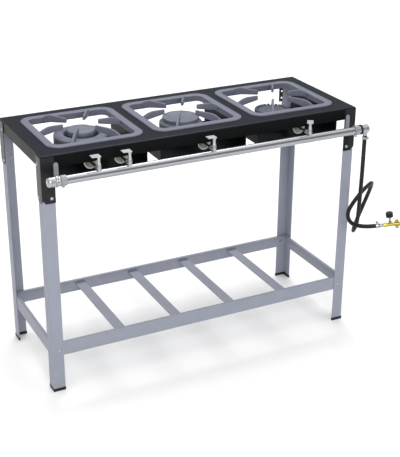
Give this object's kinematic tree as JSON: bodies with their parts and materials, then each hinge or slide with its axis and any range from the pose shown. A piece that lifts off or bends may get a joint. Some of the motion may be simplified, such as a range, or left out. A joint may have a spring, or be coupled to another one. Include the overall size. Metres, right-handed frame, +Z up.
{
  "type": "gas stove",
  "caption": "Floor-standing gas stove with three open burners under cast grates, a front manifold with lever taps, a slatted lower shelf and a hose with a cylinder valve",
  "frame": {"origin": "centre of the stand's footprint box, on the floor, hose and valve left out", "axes": "+X to the operator's right along the table, +Y from the operator to the back, +Z up"},
  "size_m": [1.2006, 0.6325, 0.792],
  "materials": {
    "plate_enamel": "gloss",
    "grey_paint": "satin",
    "black_paint": "gloss",
    "cast_grey": "rough",
    "chromed_pipe": "polished",
    "zinc_steel": "satin",
    "brass": "satin",
    "black_plastic": "matte",
    "grey_handle": "satin",
    "black_rubber": "matte"
  },
  "bodies": {
    "stand": {"burner_left_body": "cast_grey", "burner_middle_body": "cast_grey", "burner_right_body": "cast_grey", "corner_bracket_back_left": "black_paint", "corner_bracket_back_right": "black_paint", "corner_bracket_front_left": "black_paint", "corner_bracket_front_right": "black_paint", "feet": "black_plastic", "frame_bolts": "zinc_steel", "gas_hose": "black_rubber", "hose_clamps": "zinc_steel", "hose_ferrule": "zinc_steel", "hose_nipple": "zinc_steel", "injectors": "brass", "inlet_nose": "brass", "leg_back_left": "grey_paint", "leg_back_right": "grey_paint", "leg_front_left": "grey_paint", "leg_front_right": "grey_paint", "manifold_end_cap": "zinc_steel", "manifold_end_elbow": "zinc_steel", "manifold_gasket": "black_rubber", "manifold_pipe": "chromed_pipe", "manifold_rings": "chromed_pipe", "manifold_strap_left": "zinc_steel", "manifold_strap_right": "zinc_steel", "shelf_rail_back": "grey_paint", "shelf_rail_front": "grey_paint", "shelf_rail_left": "grey_paint", "shelf_rail_right": "grey_paint", "shelf_slats": "grey_paint", "strap_screws": "zinc_steel", "table_top": "plate_enamel", "tap_body_1": "zinc_steel", "tap_body_2": "zinc_steel", "tap_body_3": "zinc_steel", "tap_body_4": "zinc_steel", "tray_left": "black_paint", "tray_middle": "black_paint", "tray_right": "black_paint", "tray_sides": "black_paint", "valve_body": "brass", "venturi_left_centre": "cast_grey", "venturi_left_ring": "cast_grey", "venturi_middle": "cast_grey", "venturi_right": "cast_grey"},
    "grate_left": {"grate_left": "cast_grey"},
    "grate_middle": {"grate_middle": "cast_grey"},
    "grate_right": {"grate_right": "cast_grey"},
    "burner_left_ring_lid": {"burner_left_ring_lid": "cast_grey"},
    "burner_left_centre_cap": {"burner_left_centre_cap": "cast_grey"},
    "burner_middle_cap": {"burner_middle_cap": "cast_grey"},
    "burner_right_cap": {"burner_right_cap": "cast_grey"},
    "tap_handle_1": {"tap_handle_1": "grey_handle"},
    "tap_handle_2": {"tap_handle_2": "grey_handle"},
    "tap_handle_3": {"tap_handle_3": "grey_handle"},
    "tap_handle_4": {"tap_handle_4": "grey_handle"},
    "valve_knob": {"valve_knob": "black_plastic", "valve_stem": "zinc_steel"},
    "wing_nut": {"wing_nut": "brass"}
  },
  "joints": [
    {"name": "tap_1_turn", "type": "hinge", "parent": "stand", "child": "tap_handle_1", "pos_m": [-0.381, -0.21036, 0.745], "axis": [0, 0, 1], "range_deg": [0, 90]},
    {"name": "tap_2_turn", "type": "hinge", "parent": "stand", "child": "tap_handle_2", "pos_m": [-0.286, -0.21036, 0.745], "axis": [0, 0, 1], "range_deg": [0, 90]},
    {"name": "tap_3_turn", "type": "hinge", "parent": "stand", "child": "tap_handle_3", "pos_m": [-0.014, -0.21036, 0.745], "axis": [0, 0, 1], "range_deg": [0, 90]},
    {"name": "tap_4_turn", "type": "hinge", "parent": "stand", "child": "tap_handle_4", "pos_m": [0.321, -0.21036, 0.745], "axis": [0, 0, 1], "range_deg": [-57, 33]},
    {"name": "grate_left_lift", "type": "slide", "parent": "stand", "child": "grate_left", "axis": [0, 0, 1], "range_m": [0, 0.12]},
    {"name": "grate_middle_lift", "type": "slide", "parent": "stand", "child": "grate_middle", "axis": [0, 0, 1], "range_m": [0, 0.12]},
    {"name": "grate_right_lift", "type": "slide", "parent": "stand", "child": "grate_right", "axis": [0, 0, 1], "range_m": [0, 0.12]},
    {"name": "burner_left_ring_lid_lift", "type": "slide", "parent": "stand", "child": "burner_left_ring_lid", "axis": [0, 0, 1], "range_m": [0, 0.008]},
    {"name": "burner_left_centre_cap_lift", "type": "slide", "parent": "stand", "child": "burner_left_centre_cap", "axis": [0, 0, 1], "range_m": [0, 0.008]},
    {"name": "burner_middle_cap_lift", "type": "slide", "parent": "stand", "child": "burner_middle_cap", "axis": [0, 0, 1], "range_m": [0, 0.008]},
    {"name": "burner_right_cap_lift", "type": "slide", "parent": "stand", "child": "burner_right_cap", "axis": [0, 0, 1], "range_m": [0, 0.008]},
    {"name": "valve_knob_turn", "type": "hinge", "parent": "stand", "child": "valve_knob", "pos_m": [0.53758, -0.37095, 0.44449], "axis": [-0.1377, 0.0847, 0.9869], "range_deg": [0, 300]},
    {"name": "wing_nut_turn", "type": "hinge", "parent": "stand", "child": "wing_nut", "pos_m": [0.5485, -0.37767, 0.4466], "axis": [0.8405, -0.5172, 0.1616], "continuous": true}
  ]
}
